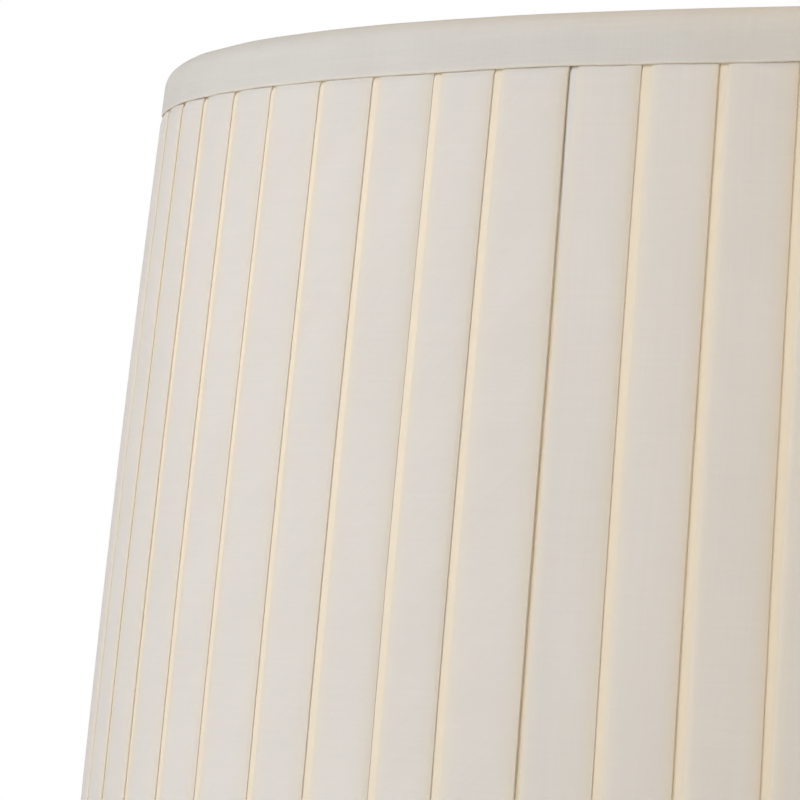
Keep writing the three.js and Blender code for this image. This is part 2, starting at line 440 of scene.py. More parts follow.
def mixed(tree, first, second, share):
    """Two values added, the second with a share and the first with the rest."""
    rest = math_node(tree, "MULTIPLY", first, 1 - share)
    return math_node(tree, "ADD", rest, math_node(tree, "MULTIPLY", second, share))


def threads(tree, place, pitch):
    """The height of a plain weave: warp and weft ribs that cross."""
    wave = {"Vector": place, "Scale": TURN / WAVE_BANDS / pitch, "Distortion": THREAD_WANDER}
    ribs = [node(tree, "ShaderNodeTexWave", wave, bands_direction=axis).outputs["Fac"] for axis in "XY"]
    return math_node(tree, "MAXIMUM", *ribs)


def cloth(name, light, dark, painted_light_colour, glow, pitch, sheen, passing, weave_depth, roughness=0.85):
    """Woven cloth: threads, slubs and a slow change of tone.

    painted_light_colour is painted light mixed into its colour by each vertex's share (a warm glow painted in
    slits and at fold edges, painted shade on lapped tape), glow the colour of the light that comes through,
    and passing how much of it does, on flat cloth and in a slit."""
    material = new_material(name)
    tree = material.node_tree
    flat = node(tree, "ShaderNodeAttribute", attribute_name="cloth_flat").outputs["Vector"]
    # The attribute's third value is the share of painted light; it also sets how much light passes.
    depth = node(tree, "ShaderNodeSeparateXYZ", {0: flat}).outputs["Z"]
    tone = mapped_noise(tree, flat, TONE_WAVES).outputs["Fac"]
    warp_slub = mapped_noise(tree, flat, WARP_SLUBS).outputs["Fac"]
    weft_slub = mapped_noise(tree, flat, WEFT_SLUBS).outputs["Fac"]
    slub = mixed(tree, warp_slub, weft_slub, 0.5)
    colour = ramp(tree, mixed(tree, tone, slub, SLUB_SHARE), dark, light)
    # Painted light: the colour is mixed towards painted_light_colour by each vertex's share.
    folded = node(tree, "ShaderNodeMix", data_type="RGBA", inputs={0: depth, 6: colour, 7: (*painted_light_colour, 1)})
    relief = math_node(tree, "MULTIPLY", threads(tree, flat, pitch), THREAD_RELIEF)
    weave = math_node(tree, "ADD", relief, slub)
    bump = node(tree, "ShaderNodeBump", {"Height": weave, "Strength": 0.6, "Distance": weave_depth})
    rough = math_node(tree, "MULTIPLY_ADD", slub, SLUB_ROUGHNESS, roughness - SLUB_ROUGHNESS / 2)
    surface = node(tree, "ShaderNodeBsdfPrincipled", {
        "Base Color": folded.outputs[2], "Roughness": rough, "Normal": bump.outputs[0],
        "Sheen Weight": sheen, "Sheen Roughness": 0.4, "Specular IOR Level": 0.2})
    through = node(tree, "ShaderNodeBsdfTranslucent", {"Color": (*glow, 1)})
    mix = node(tree, "ShaderNodeMixShader", {0: passing[0], 1: surface.outputs[0], 2: through.outputs[0]})
    if passing[1] != passing[0]:
        share = node(tree, "ShaderNodeMapRange", {0: depth, 1: 0.0, 2: 1.0, 3: passing[0], 4: passing[1]})
        tree.links.new(share.outputs[0], mix.inputs[0])
    node(tree, "ShaderNodeOutputMaterial", {"Surface": mix.outputs[0]})
    return material


def solid(name, light, dark, roughness, grain, bump_depth, metallic=0.0, coat=0.0):
    """Plating, enamel or paint: a grain, in waves per metre, moves its colour, roughness and surface."""
    material = new_material(name)
    tree = material.node_tree
    place = node(tree, "ShaderNodeTexCoord").outputs["Object"]
    wide = mapped_noise(tree, place, (grain * WIDE_GRAIN,) * 3).outputs["Fac"]
    fine = mapped_noise(tree, place, (grain,) * 3, 6.0).outputs["Fac"]
    colour = ramp(tree, mixed(tree, wide, fine, FINE_SHARE), dark, light)
    rough = math_node(tree, "MULTIPLY_ADD", fine, roughness, roughness / 2)
    bump = node(tree, "ShaderNodeBump", {"Height": fine, "Strength": 0.5, "Distance": bump_depth})
    surface = node(tree, "ShaderNodeBsdfPrincipled", {
        "Base Color": colour, "Roughness": rough, "Metallic": metallic,
        "Coat Weight": coat, "Coat Roughness": 0.2, "Normal": bump.outputs[0]})
    node(tree, "ShaderNodeOutputMaterial", {"Surface": surface.outputs[0]})
    return material


PLEAT_CLOTH = cloth(
    "pleat_cloth", light=(0.80, 0.785, 0.76), dark=(0.745, 0.73, 0.70), painted_light_colour=(0.84, 0.785, 0.665),
    glow=(0.93, 0.88, 0.80), pitch=0.42 * MM, sheen=0.12, passing=(0.33, 0.36), weave_depth=0.035 * MM)
TRIM_CLOTH_LOOK = cloth(
    "trim_cloth", light=(0.725, 0.712, 0.675), dark=(0.665, 0.65, 0.61), painted_light_colour=(0.88, 0.83, 0.72),
    glow=(0.90, 0.80, 0.66), pitch=0.42 * MM, sheen=0.12, passing=(0.25, 0.25), weave_depth=0.07 * MM)
LINING_CLOTH = cloth(
    "lining_cloth", light=(0.86, 0.84, 0.80), dark=(0.81, 0.79, 0.74), painted_light_colour=(0.82, 0.78, 0.70),
    glow=(0.95, 0.87, 0.74), pitch=0.3 * MM, sheen=0.3, passing=(0.5, 0.5), weave_depth=0.03 * MM,
    roughness=0.6)
BINDING_TAPE = cloth(
    "binding_tape", light=(0.78, 0.76, 0.71), dark=(0.70, 0.68, 0.63), painted_light_colour=(0.70, 0.66, 0.58),
    glow=(0.8, 0.75, 0.66), pitch=0.6 * MM, sheen=0.1, passing=(0.1, 0.1), weave_depth=0.1 * MM)
COATED_WIRE = solid(
    "coated_wire", light=(0.78, 0.78, 0.76), dark=(0.66, 0.66, 0.63), roughness=0.35, grain=900,
    bump_depth=0.04 * MM, coat=0.3)
BRASS_PLATE = solid(
    "brass_plate", light=(0.83, 0.63, 0.33), dark=(0.66, 0.46, 0.21), roughness=0.26, grain=1100,
    bump_depth=0.03 * MM, metallic=1.0, coat=0.1)


def dress(piece, material, slot, *nodes):
    """Gives a piece its material, hides the CAD nodes that it stands for, and rides it on the body; slot is
    not used.
    """
    piece.data.materials.append(material)
    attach(piece, "root")
    if nodes:
        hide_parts(*nodes)
    return piece


# ---- The pleated cover ----

def cover_heights():
    """Row heights: close together under and just past the trims, and even between them."""
    near = [share * TRIM_HEIGHT for share in TRIM_ROWS]
    low = [COVER_LOW + max(0, step - (COVER_LOW - FLOOR_Z)) for step in near]
    high = [COVER_HIGH - max(0, step - (RIM_Z - COVER_HIGH)) for step in near]
    between = [blend(low[-1], high[-1], i / ROWS_BETWEEN) for i in range(1, ROWS_BETWEEN)]
    return sorted(set(low + between + high))


def pressed(z):
    """1 under a trim, where the pleats are pressed flat, and 0 away from it."""
    from_rim = min(z - FLOOR_Z, RIM_Z - z)
    return 1 - smooth(TRIM_HEIGHT * PRESS_START, TRIM_HEIGHT * PRESS_END, from_rim)


def back_depth(press):
    """How deep the cloth behind the slits lies."""
    return blend(BACK_DEPTH, PRESSED_BACK_DEPTH, press)


def seam_cover(z):
    """1 where the lapped ends of the cloth close the seam's slit, near the top, and 0 lower down."""
    return smooth(SEAM_CLOSED_LOW, SEAM_CLOSED_HIGH, height_share(z))


def slit_width(number, z):
    """The gap between two pleats, a little wider towards the bottom."""
    width = blend(SLIT_BOTTOM, SLIT_TOP, height_share(z))
    width *= 1 + SLIT_UNEVEN * pleat_noise(SLIT_NOISE, number, z)
    if number % PLEAT_COUNT == 0:
        width *= blend(SEAM_SLIT_SHARE, 1, seam_cover(z))
    return width


def slit_place(number, z, places):
    """Where the middle of a slit lies along a row, measured from the front."""
    index = number % PLEAT_COUNT
    angle = SEAM_ANGLE + TURN * number / PLEAT_COUNT + places[index]
    return angle * wall(z) + pleat_noise(WANDER_NOISE, index, z) * PLEAT_WANDER


def uneven_places(draw):
    """How far each slit lies from even spacing: pleats laid by hand wander, and the last meets the first."""
    steps = [draw.uniform(-1, 1) * PLEAT_JITTER for _ in range(PLEAT_COUNT)]
    mean = sum(steps) / PLEAT_COUNT
    places = [0.0]
    for step in steps[:-1]:
        places.append(places[-1] + step - mean)
    return places


def pleat_looks(draw):
    """How a pleat differs from its neighbours: its level, its tilt and the crown of each edge."""
    return {
        "level": draw.uniform(-FACE_LEVEL, FACE_LEVEL),
        "tilt": draw.uniform(-1, 1) * FACE_TILT,
        "crowns": [FACE_CROWN * draw.uniform(CROWN_LEAST, CROWN_MOST) for _ in range(2)],
    }


def pleat_side(edge, middle, back, brow, side):
    """One side of a pleat, from the slit to the face; side is -1 on the left and 1 on the right."""
    inward = -side
    lap = abs(middle - edge) * UNDERLAP_SHARE
    turn = edge + inward * lap
    front = back - RETURN_GAP
    # Each point's third value is its painted warm glow: full at the slit's edge, less on the folds, fading
    # onto the face.
    points = [(edge + inward * lap * UNDERLAP_START, back, FOLD_PAINTED_GLOW)]
    for x, y in arc((0, (back + front) / 2), (back - front) / 2, 90, -90, FOLD_POINTS):
        points.append((turn + inward * x, y, FOLD_PAINTED_GLOW))
    points.append((edge + inward * lap / 2, front, FOLD_PAINTED_GLOW))
    points.append((edge, front, 1))
    radius = (front - brow) / 2
    for i, (x, y) in enumerate(arc((0, (front + brow) / 2), radius, 180, 270, EDGE_POINTS)):
        painted_light = blend(1, EDGE_GLOW, smooth(0, EDGE_POINTS - 1, i))
        points.append((edge + inward * (radius + x), y, painted_light))
    return points


def cover_pleat(number, z, places, looks):
    """One box pleat across a row: (place along the row, depth, painted warm glow) from slit to slit."""
    press = pressed(z)
    free = 1 - press
    left = slit_place(number, z, places)
    edge_left = left + slit_width(number, z) / 2
    edge_right = slit_place(number + 1, z, places) - slit_width(number + 1, z) / 2
    middle = (edge_left + edge_right) / 2
    reach = (edge_right - edge_left) / 2
    face = blend(FACE_DEPTH, PRESSED_FACE_DEPTH, press) + looks["level"] * free
    tilt = looks["tilt"] * free
    crowns = [blend(crown, PRESSED_CROWN, press) for crown in looks["crowns"]]
    back = back_depth(press)
    points = [(left, back, 1)] + pleat_side(edge_left, middle, back, face + crowns[0] - tilt, -1)
    for share in FACE_SHARES:
        crown = crowns[0] if share < 0 else crowns[1]
        wave = pleat_noise(FACE_NOISE, number, z, share) * FACE_RIPPLE * free
        depth = face + crown * abs(share) ** CROWN_POWER + tilt * share + wave
        points.append((middle + share * reach, depth, EDGE_GLOW * smooth(GLOW_START, 1, abs(share))))
    return points + pleat_side(edge_right, middle, back, face + crowns[1] + tilt, 1)[::-1]


def seam_start(start, back, under, closed):
    """The cloth's start, turned under itself where the seam is closed."""
    # The third value is the painted warm glow: none on the lapped layers, none at the start where the seam is
    # closed.
    return [(start - under, back + 2 * SEAM_LAYER_GAP, 0),
            (start - under * SEAM_STEP, back + SEAM_LAYER_GAP, 0),
            (start, back, 1 - closed)]


def seam_end(end, back, under, closed, lap):
    """The cloth's end, lapped behind its start and folded back on itself."""
    # The third value is the painted warm glow: none on the lapped layers, none at the end where the seam is
    # closed.
    deep = back + 3 * SEAM_LAYER_GAP
    points = [(end, back + 2 * SEAM_LAYER_GAP, 1 - closed), (end + lap / 2, deep, 0)]
    for _ in range(SEAM_FOLDS):
        points += [(end + lap, deep, 0), (end + lap, deep + SEAM_LAYER_GAP, 0)]
        points.append((end + SLIT_TOP, deep + SEAM_LAYER_GAP, 0))
        deep += 2 * SEAM_LAYER_GAP
    return points + [(end - under, deep, 0)]


def cover_row(z, places, looks):
    """The cloth along one row, from its start at the seam round to its end: (place, depth, painted warm
    glow).
    """
    back = back_depth(pressed(z))
    closed = seam_cover(z)
    under = SEAM_LAP_TOP * closed
    joint = SLIT_TOP / 2 * (1 - closed)
    lap = blend(SEAM_LAP_BOTTOM, SEAM_LAP_TOP, height_share(z))
    points = seam_start(slit_place(0, z, places) + joint, back, under, closed)
    for number in range(PLEAT_COUNT):
        pleat = cover_pleat(number, z, places, looks[number])
        points += pleat if number else pleat[1:]
    return points + seam_end(slit_place(PLEAT_COUNT, z, places) + joint, back, under, closed, lap)


def cover():
    """The pleated cover: one strip of cloth, from the seam all the way round to the seam."""
    draw = random.Random(PLEAT_SEED)
    places = uneven_places(draw)
    looks = [pleat_looks(draw) for _ in range(PLEAT_COUNT)]
    rows = cover_heights()
    vertices = []
    flat = []
    for z in rows:
        bulge = BULGE * math.sin(math.pi * height_share(z)) * (1 - pressed(z))
        row = cover_row(z, places, looks)
        before = row[0][:2]
        along = 0.0
        for place, depth, painted_light in row:
            along += math.dist(before, (place, depth))
            before = (place, depth)
            vertices.append(at(place / wall(z), wall(z, depth) + bulge, z))
            flat.append((along, z, painted_light))
    columns = len(vertices) // len(rows)
    piece = new_piece("cover_pleats", vertices, grid_faces(len(rows), columns), flat)
    dress(piece, PLEAT_CLOTH, "pleat_cloth", "pleated_cover")


# ---- Trims ----

def over_roll(roll, radius, side, steps):
    """Points over a trim's roll, from its outer side (-1) or its inner side (1) to the other."""
    turns = [math.pi * i / steps for i in range(steps + 1)]
    return [(roll + side * radius * math.cos(t), roll - radius * math.sin(t)) for t in turns]


def rolled_section(inner_leg):
    """The strip's section as (depth, distance from the rim), all round."""
    roll = TRIM_DEPTH / 2
    half = TRIM_CLOTH / 2
    leg = TRIM_HEIGHT - half
    inner_end = inner_leg - half
    section = [(0, blend(leg, roll, step)) for step in OUTER_LEG_STEPS]
    section += over_roll(roll, roll, -1, ROLL_STEPS)
    section += [(TRIM_DEPTH, blend(roll, inner_end, step)) for step in (0.5, 1)]
    section += arc((TRIM_DEPTH - half, inner_end), half, 0, 180, EDGE_POINTS)[1:-1]
    section += [(TRIM_DEPTH - TRIM_CLOTH, blend(inner_end, roll, step)) for step in (0, 0.5)]
    section += over_roll(roll, roll - TRIM_CLOTH, 1, UNDER_ROLL_STEPS)
    section += [(TRIM_CLOTH, blend(roll, leg, step)) for step in UNDER_LEG_STEPS]
    section += arc((half, leg), half, 0, 180, EDGE_POINTS)[1:-1]
    return section


def trim_lap(angle, rim):
    """1 where the strip's two ends overlap, opposite the cover's seam, and 0 elsewhere."""
    away = turn_between(angle, SEAM_ANGLE + math.pi) * wall(rim)
    return 1 - smooth(TRIM_LAP / 2 - TRIM_LAP_EASE, TRIM_LAP / 2 + TRIM_LAP_EASE, away)


def trim_point(angle, depth, drop, rim, down, seed):
    """Where a point of the section lies at an angle, with the unevenness of a hand-sewn strip."""
    outside = 1 if depth < TRIM_DEPTH / 2 else 0
    leg = smooth(TRIM_LEG_START, 1, drop / TRIM_HEIGHT)
    uneven = ripple(angle, drop * TRIM_FACE_RATE, TRIM_FACE_WAVES, seed + 2) * TRIM_UNEVEN * outside
    pleats = math.cos(PLEAT_COUNT * (angle - SEAM_ANGLE)) * TRIM_PRESS * leg * outside
    lapped = trim_lap(angle, rim) * TRIM_LAP_STEP * (1 if outside else -1)
    edge_wave = sum(ripple(angle, seed, waves, seed + i) * share
                    for i, (waves, share) in enumerate(TRIM_EDGE_WAVES))
    drop_here = drop + edge_wave * TRIM_EDGE_WAVE * leg * outside
    drop_here += ripple(angle, 0, TRIM_RIM_WAVES, seed + 3) * TRIM_UNEVEN * (1 - leg)
    z = rim + down * drop_here
    return at(angle, wall(z, depth) + lapped + uneven - pleats, z)


def trim(name, cad_node, rim, down, seed):
    """A bias strip folded over a rim; down is -1 at the top rim and 1 at the bottom one."""
    inner_face = TRIM_DEPTH - TRIM_INNER_REACH
    inner_leg = max(abs(z - rim) for radius, z in profile_of(cad_node) if wall(z) - radius > inner_face)
    section = rolled_section(inner_leg)
    vertices = []
    flat = []
    for i in range(TRIM_STEPS):
        angle = TURN * i / TRIM_STEPS
        before = section[0]
        along = 0.0
        for depth, drop in section:
            along += math.dist(before, (depth, drop))
            before = (depth, drop)
            outside = 1 if depth < TRIM_DEPTH / 2 else 0
            vertices.append(trim_point(angle, depth, drop, rim, down, seed))
            # The third value is a warm glow painted along the free edge of the strip's outer leg.
            flat.append((angle * wall(rim), along, outside * smooth(TRIM_GLOW_START, 1, drop / TRIM_HEIGHT)))
    faces = grid_faces(TRIM_STEPS, len(section), wrap_rows=True, wrap_columns=True)
    if down > 0:
        faces = [face[::-1] for face in faces]
    piece = new_piece(name, vertices, faces, flat)
    dress(piece, TRIM_CLOTH_LOOK, "trim_cloth", cad_node)


# ---- Lining ----

def lining_angles(arms, slit_half):
    """Even angles round the lining, with the two sides of each arm's slit instead of those near it."""
    even = [TURN * i / LINING_STEPS for i in range(LINING_STEPS)]
    clear = [angle for angle in even if all(turn_between(angle, arm) > 2 * slit_half for arm in arms)]
    return sorted(clear + [(arm + side * slit_half) % TURN for arm in arms for side in (-1, 1)])


def slit_cells(angles, slit_rows, arms, slit_half):
    """The cells of the lining's grid, as (row, column), that the arms' slits leave out."""
    cells = set()
    for column, angle in enumerate(angles):
        following = angles[column + 1] if column + 1 < len(angles) else angles[0] + TURN
        middle = (angle + following) / 2
        if any(turn_between(middle, arm) < slit_half for arm in arms):
            cells.update((row, column) for row in slit_rows)
    return cells


def lining_point(angle, z, low, high, depth):
    """A point of the lining: it sags a little between the rings, in slow waves and fine ones."""
    share = (z - low) / (high - low)
    hold = math.sin(math.pi * share) ** LINING_HOLD_POWER if 0 < share < 1 else 0
    wave = sum(ripple(angle, z * rate, per_metre, LINING_SEED + i) * size
               for i, (rate, per_metre, size) in enumerate(LINING_WAVES))
    return at(angle, wall(z, depth + (LINING_SAG + wave) * hold), z)


def lining():
    """The smooth lining, stretched between the rings and slit at each arm."""
    low, high = heights("lining")
    depth = sum(depths("lining")) / 2
    slit_floor = washer_height() - arm_wire() - ARM_SLIT_GAP
    slit_half = (arm_wire() + ARM_SLIT_GAP) / wall(high, depth)
    arms = [facing(name) for name in ARM_NODES]
    angles = lining_angles(arms, slit_half)
    rows = sorted({blend(low, high, i / LINING_ROWS) for i in range(LINING_ROWS + 1)} | {slit_floor})
    vertices = [lining_point(angle, z, low, high, depth) for z in rows for angle in angles]
    flat = [(angle * wall(z, depth), z, 0) for z in rows for angle in angles]
    open_cells = slit_cells(angles, range(rows.index(slit_floor), len(rows)), arms, slit_half)
    faces = grid_faces(len(rows), len(angles), wrap_columns=True, left_out=open_cells)
    piece = new_piece("lining_sheet", vertices, faces, flat)
    dress(piece, LINING_CLOTH, "lining_cloth", "lining")


# ---- Frame ----

def washer_height():
    """The height of the washer's middle plane."""
    return sum(heights("spider_washer")) / 2


def washer_radius():
    """The radius of the washer's rim."""
    low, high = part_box("spider_washer")
    return (high[0] - low[0]) / 2


def arm_wire():
    """The radius of an arm's wire: its lowest point lies that far under the washer's middle plane."""
    return washer_height() - heights(ARM_NODES[0])[0]


def ring_measure(cad_node):
    """A ring's centre radius, height and wire radius."""
    radii = [radius for radius, _ in profile_of(cad_node)]
    low, high = heights(cad_node)
    return (min(radii) + max(radii)) / 2, (low + high) / 2, (high - low) / 2


def ring(name, cad_node):
    """A wire ring, butt-welded at one rib."""
    radius, z, wire = ring_measure(cad_node)
    points = [at(SEAM_ANGLE + TURN * i / RING_STEPS, radius, z) for i in range(RING_STEPS)]
    from_weld = [min(i, RING_STEPS - i) for i in range(RING_STEPS)]
    radii = [wire * (1 + BUTT_WELD_SIZE * (1 - smooth(0, BUTT_WELD_REACH, steps))) for steps in from_weld]
    vertices, faces = tube(points, radii, closed=True)
    dress(new_piece(name, vertices, faces), COATED_WIRE, "coated_wire", cad_node)


def binding(name, cad_node, ring_node):
    """Cotton tape wound round a ring, each turn over the edge of the last."""
    radius, z, _ = ring_measure(ring_node)
    outer = ring_measure(cad_node)[2]
    steps = round(TURN * radius / TAPE_PITCH) * TAPE_STEPS
    vertices = []
    flat = []
    for i in range(steps):
        angle = TURN * i / steps
        for k in range(TAPE_SIDES):
            round_wire = TURN * k / TAPE_SIDES
            lap = (i / TAPE_STEPS + k / TAPE_SIDES) % 1
            size = outer - TAPE_EDGE * lap + TAPE_UNEVEN * noise.noise(Vector((i * TAPE_NOISE, k, 3)))
            centre = radius + size * math.cos(round_wire)
            vertices.append(at(angle, centre, z + size * math.sin(round_wire)))
            # Painted shade: the tape is coloured darker towards where each turn runs under the next.
            flat.append((angle * radius * TAPE_STRETCH, round_wire * outer, lap * TAPE_SHADE))
    piece = new_piece(name, vertices, grid_faces(steps, TAPE_SIDES, True, True), flat)
    dress(piece, BINDING_TAPE, "binding_tape", cad_node)


def rib(name, cad_node):
    """An upright wire with a weld at each ring."""
    low, high = heights(cad_node)
    near, far = depths(cad_node)
    depth = (near + far) / 2
    wire = (far - near) / 2
    angle = facing(cad_node)
    levels = [blend(low, high, i / RIB_STEPS) for i in range(RIB_STEPS + 1)]
    points = [at(angle, wall(z, depth), z) for z in levels]
    radii = [wire * RIB_FLARE] + [wire] * (RIB_STEPS - 1) + [wire * RIB_FLARE]
    welds = [bead(points[end], wire * WELD_SIZE, WELD_STRETCH) for end in (0, -1)]
    vertices, faces = merge([tube(points, radii)] + welds)
    dress(new_piece(name, vertices, faces), COATED_WIRE, "coated_wire", cad_node)


def arm(name, cad_node):
    """A spider arm: down from the ring, round a bend and in to the washer, with a solder bead at each end."""
    ring_radius = ring_measure("top_ring")[0]
    angle, wire, z = facing(cad_node), arm_wire(), washer_height()
    top = heights(cad_node)[1]
    inside = ring_radius - ARM_BEND
    inner_end = washer_radius() + WASHER_GAP
    points = [at(angle, ring_radius, top), at(angle, ring_radius, blend(top, z + ARM_BEND, 0.5))]
    for i in range(ARM_BEND_STEPS + 1):
        turn = math.pi / 2 * i / ARM_BEND_STEPS
        points.append(at(angle, inside + ARM_BEND * math.cos(turn), z + ARM_BEND * (1 - math.sin(turn))))
    points += [at(angle, blend(inside, inner_end, i / ARM_STEPS), z) for i in range(1, ARM_STEPS + 1)]
    joints = [bead(points[0], wire * WELD_SIZE, RING_SOLDER_STRETCH),
              bead(points[-1], wire * WELD_SIZE, WASHER_SOLDER_STRETCH)]
    vertices, faces = merge([tube(points, [wire] * len(points))] + joints)
    dress(new_piece(name, vertices, faces), BRASS_PLATE, "brass_plate", cad_node)


def eased_corner(radius, z, start):
    """A quarter turn round a corner of the washer, from an angle in degrees."""
    return arc((radius, z), WASHER_EASE, start, start + 90, EDGE_POINTS)


def washer():
    """The fitter's washer: a turned disc with eased edges, a slightly domed top and a bore."""
    low, high = heights("spider_washer")
    bore = min(radius for radius, _ in profile_of("spider_washer"))
    outside = washer_radius() - WASHER_EASE
    inside = bore + WASHER_EASE
    foot, head = low + WASHER_EASE, high - WASHER_EASE
    section = eased_corner(outside, foot, -90) + eased_corner(outside, head, 0)
    section.append(((outside + inside) / 2, high + WASHER_DOME))
    section += eased_corner(inside, head, 90) + eased_corner(inside, foot, 180)
    turns = [TURN * i / WASHER_STEPS for i in range(WASHER_STEPS)]
    vertices = [at(turn, radius, z) for turn in turns for radius, z in section]
    faces = grid_faces(WASHER_STEPS, len(section), True, True)
    dress(new_piece("fitter_washer", vertices, faces), BRASS_PLATE, "brass_plate", "spider_washer")


# ---- Collars ----

def beside(angle, across, z, depth):
    """A point on the wall beside an angle, so far across it."""
    out = Vector((math.sin(angle), -math.cos(angle), 0))
    side = Vector((out.y, -out.x, 0))
    place = out * wall(z, depth) + side * across
    return Vector((place.x, place.y, z))


def tab_edge(turn, half_width, half_height):
    """The point of a tab's edge at a turn round its middle: a rectangle with soft corners."""
    across, up = math.cos(turn), math.sin(turn)
    return (half_width * math.copysign(abs(across) ** TAB_CORNER_POWER, across),
            half_height * math.copysign(abs(up) ** TAB_CORNER_POWER, up))


def tab_layer(band):
    """How far a tab's faces lie from its middle, as a share of its depth: most at the hem, least at edges."""
    thick = blend(TAB_THIN, TAB_THICK, smooth(TAB_HEM_START, TAB_HEM_END, band))
    return thick * TAB_EDGE_SHARE if band in (0, 1) else thick


def collar(name, cad_node):
    """A cloth tab sewn over the slit in the lining, with a hole for the arm."""
    low, high = heights(cad_node)
    near, far = depths(cad_node)
    angle = facing(cad_node)
    middle, height = (low + high) / 2, high - low
    hole, hole_z = arm_wire() + TAB_HOLE_GAP, washer_height() - middle
    levels = [(-1, band) for band in TAB_BANDS] + [(1, band) for band in TAB_BANDS[::-1]]
    vertices = []
    flat = []
    for side, band in levels:
        depth = blend(near, far, 0.5 + side * tab_layer(band))
        for k in range(TAB_STEPS):
            turn = TURN * k / TAB_STEPS
            edge_x, edge_z = tab_edge(turn, TAB_WIDTH / 2, height / 2)
            x = blend(hole * math.cos(turn), edge_x, band)
            z = blend(hole * math.sin(turn) + hole_z, edge_z, band)
            vertices.append(beside(angle, x, middle + z, depth))
            flat.append((x, z, 0))
    faces = grid_faces(len(levels), TAB_STEPS, wrap_rows=True, wrap_columns=True)
    piece = new_piece(name, vertices, [face[::-1] for face in faces], flat)
    dress(piece, LINING_CLOTH, "lining_cloth", cad_node)
    thread = stitching(name.replace("tab", "stitches"), angle, low, far)


def stitch(angle, x, z, along_x, along_z, lean, depth):
    """One stitch that runs across the tab or up it, leans a little and arches over the cloth."""
    points = []
    for i in range(STITCH_POINTS):
        share = i / (STITCH_POINTS - 1) - 0.5
        across = x + along_x * share * STITCH_LENGTH + along_z * share * lean
        up = z + along_z * share * STITCH_LENGTH + along_x * share * lean
        lift = STITCH_RADIUS * STITCH_ARCH * math.cos(math.pi * share)
        points.append(beside(angle, across, up, depth + lift))
    return tube(points, [STITCH_RADIUS] * STITCH_POINTS, sides=STITCH_SIDES)


def stitching(name, angle, low, depth):
    """Hand stitches down both sides of a tab and along its foot."""
    side, foot = TAB_WIDTH / 2 - TAB_INSET, low + TAB_INSET
    sewn = [(sign * side, foot + STITCH_PITCH * (i + SIDE_STITCH_START), 0, 1)
            for sign in (-1, 1) for i in range(SIDE_STITCHES)]
    sewn += [(-side + STITCH_PITCH * (i + FOOT_STITCH_START), foot, 1, 0) for i in range(FOOT_STITCHES)]
    draw = random.Random(round(angle * STITCH_SEEDS_PER_RADIAN))
    parts = []
    for x, z, along_x, along_z in sewn:
        lean = draw.uniform(-STITCH_LEAN, STITCH_LEAN) * STITCH_LENGTH
        parts.append(stitch(angle, x, z, along_x, along_z, lean, depth))
    vertices, faces = merge(parts)
    flat = [(i * MM, 0, 0) for i in range(len(vertices))]
    return dress(new_piece(name, vertices, faces, flat), LINING_CLOTH, "lining_cloth")


# ---- Build ----

def build_all():
    """Every piece of the shade."""
    cover()
    trim("top_band", "top_trim", RIM_Z, -1, 1)
    trim("bottom_band", "bottom_trim", FLOOR_Z, 1, 2)
    lining()
    ring("top_ring_wire", "top_ring")
    ring("bottom_ring_wire", "bottom_ring")
    binding("top_ring_tape", "top_ring_binding", "top_ring")
    binding("bottom_ring_tape", "bottom_ring_binding", "bottom_ring")
    for name in RIB_NODES:
        rib(name + "_wire", name)
    for name in ARM_NODES:
        arm(name + "_wire", name)
    washer()
    for name in COLLAR_NODES:
        collar(name + "_tab", name)


build_all()


# ---- Camera, light and floor ----

CAMERA_DISTANCE = 6 * wall(RIM_Z)
CAMERA_RISE = math.radians(4.652)
CAMERA_ROLL = math.radians(1.312)
CAMERA_TURN = math.radians(-0.79)
CAMERA_LENS = 252.3
CAMERA_SENSOR = 36
CAMERA_CLIP = (0.05, 400)
AIM_RIGHT = 0.12692
AIM_UP = 0.05392
SHADE_MIDDLE = Vector((0, 0, 0.15))
FLOOR_RADIUS = 3.3
FLOOR_GAP = 0.2 * MM
FLOOR_SIDES = 128
FLOOR_FADE_START = 0.14
FLOOR_FADE_END = 0.7


def camera():
    """The camera looks up at the rim from the front, aimed left of it and below it."""
    forward = Vector((0, math.cos(CAMERA_RISE), math.sin(CAMERA_RISE)))
    position = Vector((0, 0, RIM_Z)) - forward * CAMERA_DISTANCE
    right = Vector((1, 0, 0))
    up = right.cross(forward)
    rolled = right * math.cos(CAMERA_ROLL) + up * math.sin(CAMERA_ROLL)
    rolled_up = up * math.cos(CAMERA_ROLL) - right * math.sin(CAMERA_ROLL)
    view = (forward - rolled * AIM_RIGHT - rolled_up * AIM_UP).normalized()
    side = (rolled - view * rolled.dot(view)).normalized()
    made = bpy.data.objects.new("camera", bpy.data.cameras.new("camera"))
    bpy.context.scene.collection.objects.link(made)
    made.matrix_world = turned_matrix(side, side.cross(view), -view, position)
    made.data.lens = CAMERA_LENS
    made.data.sensor_width = CAMERA_SENSOR
    made.data.clip_start, made.data.clip_end = CAMERA_CLIP
    bpy.context.scene.camera = made


def turned_matrix(x, y, z, position):
    """A matrix from three axes and a place, turned about the shade's axis by the camera's turn."""
    columns = Matrix((x, y, z)).transposed().to_4x4()
    columns.translation = position
    return Matrix.Rotation(CAMERA_TURN, 4, "Z") @ columns


def place_lamp(name, data, place):
    """Puts a lamp, which isn't seen itself, at a place and aims it at the shade."""
    made = bpy.data.objects.new(name, data)
    made.location = place
    made.rotation_euler = (SHADE_MIDDLE - Vector(place)).to_track_quat("-Z", "Y").to_euler()
    made.visible_camera = False
    bpy.context.scene.collection.objects.link(made)


def area_lamp(name, degrees, distance, height, energy, colour, size):
    """A square soft light, at so many degrees from the front."""
    data = bpy.data.lights.new(name, "AREA")
    data.energy = energy
    data.color = colour
    data.size = size
    place_lamp(name, data, at(math.radians(degrees), distance, height))


def bulb():
    """A warm bulb inside the shade."""
    data = bpy.data.lights.new("bulb", "POINT")
    data.energy = 0.65
    data.color = (1, 0.86, 0.64)
    data.shadow_soft_size = 0.025
    place_lamp("bulb", data, (0, 0, 0.25))


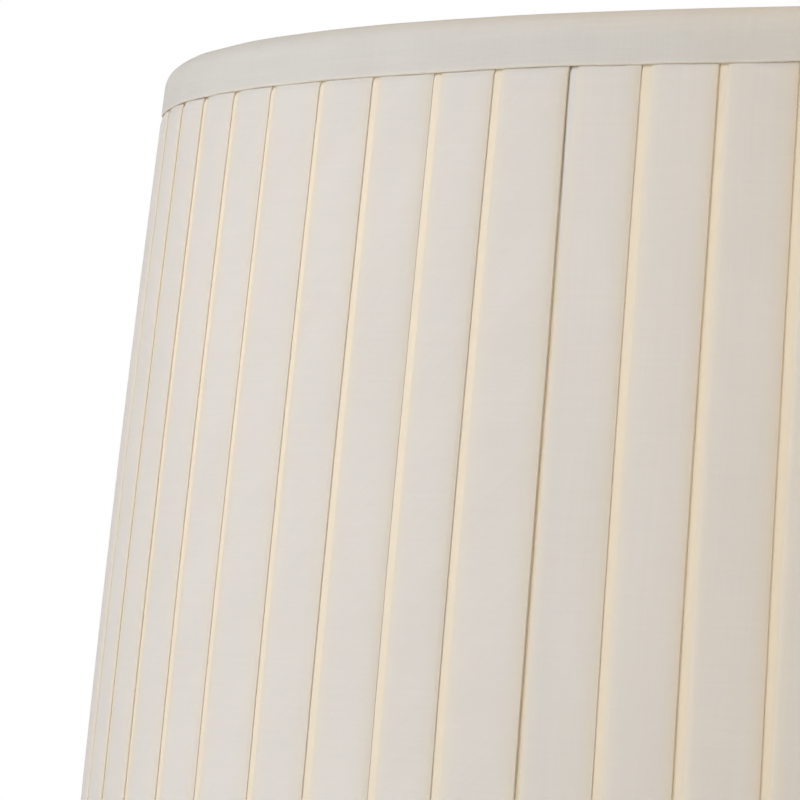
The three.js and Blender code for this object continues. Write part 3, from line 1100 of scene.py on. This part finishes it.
def surroundings():
    """White walls to look at, which light the shade dimly and warmly."""
    world = bpy.data.worlds.new("studio")
    bpy.context.scene.world = world
    world.use_nodes = True
    tree = world.node_tree
    tree.nodes.clear()
    seen = node(tree, "ShaderNodeBackground", {"Color": (1, 1, 1, 1), "Strength": 1.0})
    lit = node(tree, "ShaderNodeBackground", {"Color": (1, 0.90, 0.74, 1), "Strength": 0.315})
    to_camera = node(tree, "ShaderNodeLightPath").outputs["Is Camera Ray"]
    mix = node(tree, "ShaderNodeMixShader", {0: to_camera, 1: lit.outputs[0], 2: seen.outputs[0]})
    node(tree, "ShaderNodeOutputWorld", {"Surface": mix.outputs[0]})


def studio():
    """A broad key from the left, a fill behind, a bulb inside and a small warm light from the right."""
    surroundings()
    area_lamp("key", -58, distance=1.75, height=1.05, energy=29, colour=(0.945, 0.985, 1.06), size=1.3)
    area_lamp("fill", 150, distance=3.0, height=1.6, energy=22, colour=(0.97, 0.98, 1), size=2.4)
    bulb()
    area_lamp("warm_side", 56, distance=0.95, height=0.85, energy=5.6, colour=(1, 0.66, 0.29), size=0.5)
    bpy.context.scene.view_settings.view_transform = "Standard"


def fade_out(paint):
    """Makes a floor's paint fade to nothing away from the shade."""
    tree = paint.node_tree
    place = node(tree, "ShaderNodeTexCoord").outputs["Object"]
    away = node(tree, "ShaderNodeVectorMath", {0: place}, operation="LENGTH").outputs["Value"]
    reach = {0: away, 1: FLOOR_RADIUS * FLOOR_FADE_START, 2: FLOOR_RADIUS * FLOOR_FADE_END}
    fade = node(tree, "ShaderNodeMapRange", reach, interpolation_type="SMOOTHSTEP").outputs[0]
    surface = next(part for part in tree.nodes if part.type == "BSDF_PRINCIPLED")
    clear = node(tree, "ShaderNodeBsdfTransparent")
    mix = node(tree, "ShaderNodeMixShader", {0: fade, 1: surface.outputs[0], 2: clear.outputs[0]})
    output = next(part for part in tree.nodes if part.type == "OUTPUT_MATERIAL")
    tree.links.new(mix.outputs[0], output.inputs["Surface"])


def floor():
    """A pale round floor that fades out into the white studio."""
    height = FLOOR_Z - FLOOR_GAP
    vertices = [at(TURN * k / FLOOR_SIDES, FLOOR_RADIUS, height) for k in range(FLOOR_SIDES)]
    made = new_piece("floor", vertices, [tuple(range(FLOOR_SIDES))], smooth_shading=False)
    paint = solid("floor_paint", light=(0.86, 0.86, 0.86), dark=(0.83, 0.83, 0.83), roughness=0.6, grain=6,
                  bump_depth=0.1 * MM)
    fade_out(paint)
    made.data.materials.append(paint)


camera()
studio()
floor()

bpy.context.view_layer.update()
